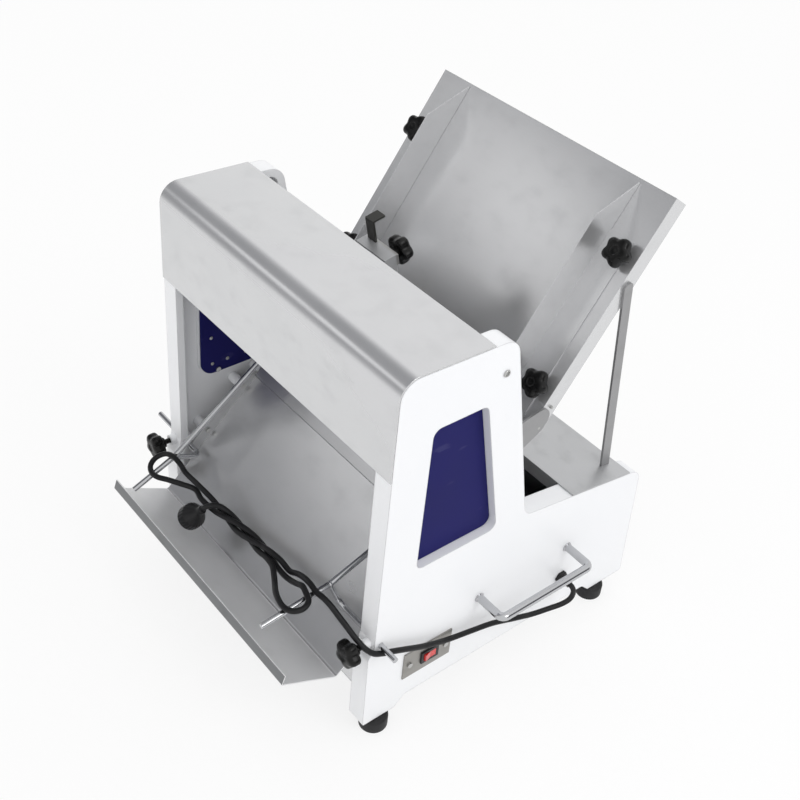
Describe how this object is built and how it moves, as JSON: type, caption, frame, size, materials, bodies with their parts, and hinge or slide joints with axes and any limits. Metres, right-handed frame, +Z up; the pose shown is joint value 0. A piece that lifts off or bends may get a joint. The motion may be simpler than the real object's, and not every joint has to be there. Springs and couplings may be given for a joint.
{
  "type": "bread slicing machine",
  "caption": "Bench bread slicer: loaves slide down a rear chute between side guides, through reciprocating blade frames, onto a front tray; carry handles, switch, cord.",
  "frame": {"origin": "on the floor, in the middle of the machine's footprint without its cord", "axes": "+X is the width, towards the side with the switch and the cord; -Y is the outfeed side; +Z is up"},
  "size_m": [0.616, 0.62, 0.683],
  "materials": {
    "paint": "satin",
    "panel": "satin",
    "steel": "brushed",
    "dark_steel": "satin",
    "chrome": "polished",
    "black_plastic": "satin",
    "dark_metal": "satin",
    "nylon": "satin",
    "iron": "satin",
    "rubber": "matt",
    "red_plastic": "glossy",
    "switch_metal": "satin"
  },
  "bodies": {
    "machine": {"side_plate_right": "paint", "side_plate_left": "paint", "window_panels": "panel", "top_cover": "steel", "rear_cover": "steel", "front_panel": "steel", "rear_panel": "steel", "base_pan": "dark_steel", "upper_bar": "iron", "upper_bar_bolts": "steel", "frame_guides": "nylon", "inner_screws": "steel", "crank_bearings": "steel", "drive_belt": "rubber", "motor": "iron", "motor_cradle": "dark_steel", "slicing_bed": "steel", "infeed_chute": "steel", "chute_brackets": "dark_steel", "chute_struts": "steel", "chute_screws": "steel", "hold_down_bracket": "dark_steel", "hold_down_clamp": "steel", "outfeed_tray": "steel", "rod_bushes": "dark_steel", "carry_handles": "chrome", "switch_plate": "switch_metal", "panel_screws": "steel", "switch_body": "black_plastic", "cable_gland": "black_plastic", "feet": "rubber", "power_cord": "rubber", "cord_plug": "black_plastic"},
    "blade_frame_front_body": {"blade_frame_front": "dark_steel", "blades_front": "steel", "wrist_pins_front": "iron"},
    "blade_frame_rear_body": {"blade_frame_rear": "dark_steel", "blades_rear": "steel", "wrist_pins_rear": "iron"},
    "rods_front_body": {"rods_front": "steel"},
    "rods_rear_body": {"rods_rear": "steel"},
    "crank": {"crankshaft": "iron", "crank_pulley": "iron"},
    "motor_rotor": {"motor_shaft": "steel", "motor_pulley": "iron"},
    "infeed_guide_right_body": {"infeed_guide_right": "steel", "guide_nuts_right": "steel"},
    "infeed_guide_left_body": {"infeed_guide_left": "steel", "guide_nuts_left": "steel"},
    "chute_knob_right_upper": {"chute_knob_right_upper": "black_plastic"},
    "chute_knob_right_lower": {"chute_knob_right_lower": "black_plastic"},
    "chute_knob_left_upper": {"chute_knob_left_upper": "black_plastic"},
    "chute_knob_left_lower": {"chute_knob_left_lower": "black_plastic"},
    "hold_down": {"hold_down_strip": "dark_metal"},
    "hold_down_knob": {"hold_down_knob": "black_plastic"},
    "outfeed_guide_right": {"outfeed_guide_right": "chrome"},
    "outfeed_guide_left": {"outfeed_guide_left": "chrome"},
    "outfeed_knob_right": {"outfeed_knob_right": "black_plastic"},
    "outfeed_knob_left": {"outfeed_knob_left": "black_plastic"},
    "rocker": {"rocker": "red_plastic"}
  },
  "joints": [
    {"name": "blade_stroke_front", "type": "slide", "parent": "machine", "child": "blade_frame_front_body", "axis": [0, -0.2127, 0.9771], "range_m": [-0.012, 0.012]},
    {"name": "blade_stroke_rear", "type": "slide", "parent": "machine", "child": "blade_frame_rear_body", "axis": [0, -0.2127, 0.9771], "range_m": [-0.012, 0.012]},
    {"name": "rod_swing_front", "type": "hinge", "parent": "blade_frame_front_body", "child": "rods_front_body", "pos_m": [0, -0.01756, 0.21213], "axis": [1, 0, 0], "range_deg": [-14.3, 0]},
    {"name": "rod_swing_rear", "type": "hinge", "parent": "blade_frame_rear_body", "child": "rods_rear_body", "pos_m": [0, -0.00193, 0.21553], "axis": [1, 0, 0], "range_deg": [0, 14.3]},
    {"name": "crank_spin", "type": "hinge", "parent": "machine", "child": "crank", "pos_m": [0, 0.01046, 0.121], "axis": [1, 0, 0], "continuous": true},
    {"name": "motor_spin", "type": "hinge", "parent": "machine", "child": "motor_rotor", "pos_m": [0, 0.18846, 0.122], "axis": [1, 0, 0], "continuous": true},
    {"name": "infeed_guide_slide_right", "type": "slide", "parent": "machine", "child": "infeed_guide_right_body", "axis": [1, 0, 0], "range_m": [-0.03, 0]},
    {"name": "infeed_guide_slide_left", "type": "slide", "parent": "machine", "child": "infeed_guide_left_body", "axis": [1, 0, 0], "range_m": [0, 0.03]},
    {"name": "chute_knob_turn_right_upper", "type": "hinge", "parent": "infeed_guide_right_body", "child": "chute_knob_right_upper", "pos_m": [0.2, 0.21366, 0.60682], "axis": [0, -0.8192, 0.5736], "range_deg": [0, 360]},
    {"name": "chute_knob_turn_right_lower", "type": "hinge", "parent": "infeed_guide_right_body", "child": "chute_knob_right_lower", "pos_m": [0.2, 0.10181, 0.44708], "axis": [0, -0.8192, 0.5736], "range_deg": [0, 360]},
    {"name": "chute_knob_turn_left_upper", "type": "hinge", "parent": "infeed_guide_left_body", "child": "chute_knob_left_upper", "pos_m": [-0.2, 0.21366, 0.60682], "axis": [0, -0.8192, 0.5736], "range_deg": [0, 360]},
    {"name": "chute_knob_turn_left_lower", "type": "hinge", "parent": "infeed_guide_left_body", "child": "chute_knob_left_lower", "pos_m": [-0.2, 0.10181, 0.44708], "axis": [0, -0.8192, 0.5736], "range_deg": [0, 360]},
    {"name": "hold_down_slide", "type": "slide", "parent": "machine", "child": "hold_down", "axis": [0, -0.2127, 0.9771], "range_m": [-0.03, 0]},
    {"name": "hold_down_knob_turn", "type": "hinge", "parent": "machine", "child": "hold_down_knob", "pos_m": [0.005, -0.00539, 0.57519], "axis": [0, 0.9771, 0.2127], "range_deg": [0, 360]},
    {"name": "outfeed_guide_slide_right", "type": "slide", "parent": "machine", "child": "outfeed_guide_right", "axis": [1, 0, 0], "range_m": [-0.01, 0.02]},
    {"name": "outfeed_guide_slide_left", "type": "slide", "parent": "machine", "child": "outfeed_guide_left", "axis": [1, 0, 0], "range_m": [-0.015, 0.015]},
    {"name": "outfeed_knob_turn_right", "type": "hinge", "parent": "machine", "child": "outfeed_knob_right", "pos_m": [0.243, -0.211, 0.181], "axis": [0, -1, 0], "range_deg": [0, 360]},
    {"name": "outfeed_knob_turn_left", "type": "hinge", "parent": "machine", "child": "outfeed_knob_left", "pos_m": [-0.243, -0.211, 0.181], "axis": [0, -1, 0], "range_deg": [0, 360]},
    {"name": "rocker_tilt", "type": "hinge", "parent": "machine", "child": "rocker", "pos_m": [0.257, -0.094, 0.1055], "axis": [0, 0, 1], "range_deg": [-16, 0]}
  ],
  "couplings": [
    {"joint": "blade_stroke_rear", "follows": "blade_stroke_front", "ratio": -1},
    {"joint": "motor_spin", "follows": "crank_spin", "ratio": 2.3462}
  ]
}
